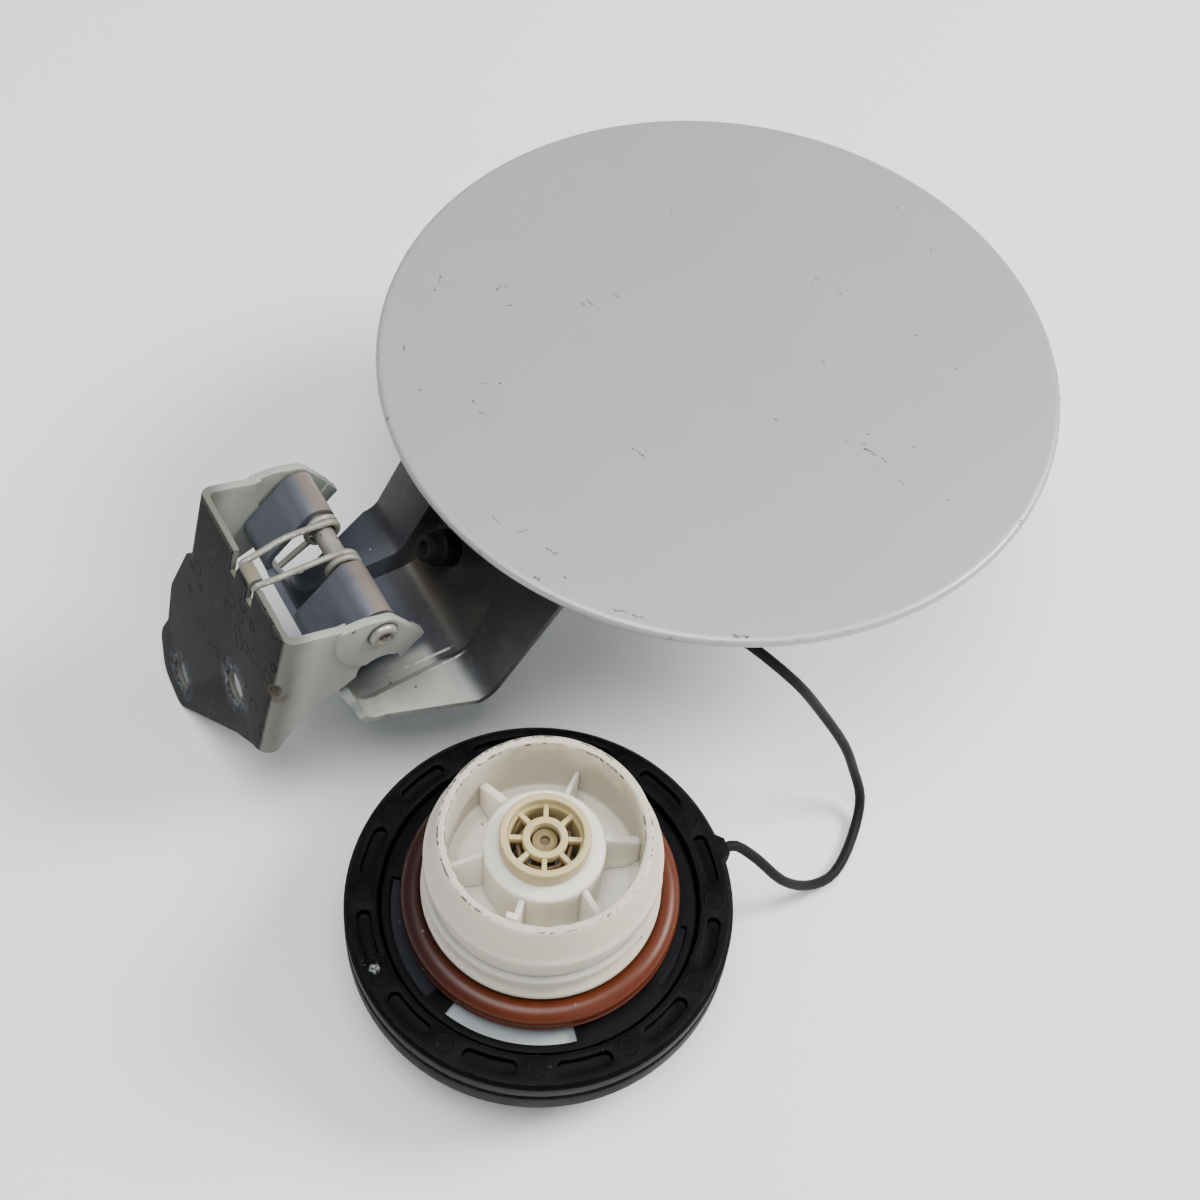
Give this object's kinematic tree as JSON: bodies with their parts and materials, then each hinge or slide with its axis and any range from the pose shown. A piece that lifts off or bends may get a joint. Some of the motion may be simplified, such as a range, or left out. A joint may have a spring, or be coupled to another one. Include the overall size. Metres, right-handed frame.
{
  "type": "car fuel door",
  "caption": "Round silver car fuel door on a gooseneck hinge with bracket, pin and torsion spring, and its black screw cap tethered by a plastic cord.",
  "frame": {"origin": "point of the bracket's mounting face level with the middle of the two bolt holes, on the hinge's centre plane", "axes": "+X from the bracket to the door, +Y along the hinge pin to the far ear, +Z out of the car body, square to the closed door"},
  "size_m": [0.2322, 0.2172, 0.0809],
  "materials": {
    "door_paint": "satin silver paint with fine scratches",
    "panel_paint": "satin grey paint",
    "arm_paint": "satin blue-grey paint",
    "bracket_paint": "worn satin greenish grey paint, dark on the mounting face",
    "pin_steel": "bare, slightly stained",
    "spring_wire": "dull",
    "black_plastic": "matt with a fine grain",
    "black_rubber": "matt",
    "grey_plastic": "satin",
    "white_plastic": "satin with specks of dirt",
    "brown_rubber": "satin",
    "beige_plastic": "satin"
  },
  "bodies": {
    "bracket": {"hinge_bracket": "bracket_paint", "hinge_pin": "pin_steel", "hinge_spring": "spring_wire"},
    "door": {"hinge_arm": "arm_paint", "stop_buffer": "black_rubber", "door_skin": "door_paint", "inner_panel": "panel_paint", "tether_anchor": "black_plastic", "tether_cord": "black_plastic", "tether_ring": "black_plastic"},
    "grip": {"grip_cover": "black_plastic", "ratchet_plate": "black_plastic"},
    "closure": {"torque_disc": "grey_plastic", "threaded_neck": "white_plastic", "cap_seal": "brown_rubber", "valve_housing": "beige_plastic", "valve_seal": "black_rubber", "pressure_spring": "spring_wire"},
    "pressure_valve": {"pressure_disc": "grey_plastic", "vacuum_spring": "spring_wire"},
    "vacuum_valve": {"vacuum_valve": "beige_plastic"}
  },
  "joints": [
    {"name": "door_hinge", "type": "hinge", "parent": "bracket", "child": "door", "pos_m": [0.03523, 0, 0.03853], "axis": [0, 1, 0], "range_deg": [-100, 0], "stiffness_Nm_per_rad": 0.05, "springref_deg": 11.46},
    {"name": "cap_swivel", "type": "hinge", "parent": "door", "child": "grip", "pos_m": [0.0435, -0.087, 0.0052], "axis": [0, 0, 1], "continuous": true},
    {"name": "ratchet_turn", "type": "hinge", "parent": "grip", "child": "closure", "pos_m": [0.0435, -0.087, 0.0052], "axis": [0, 0, 1], "continuous": true},
    {"name": "pressure_lift", "type": "slide", "parent": "closure", "child": "pressure_valve", "axis": [0, 0, 1], "range_m": [0, 0.003], "stiffness_N_per_m": 200, "springref_m": -0.004, "deforming": ["pressure_spring"]},
    {"name": "vacuum_drop", "type": "slide", "parent": "pressure_valve", "child": "vacuum_valve", "axis": [0, 0, -1], "range_m": [0, 0.002], "stiffness_N_per_m": 100, "springref_m": -0.002, "deforming": ["vacuum_spring"]}
  ]
}
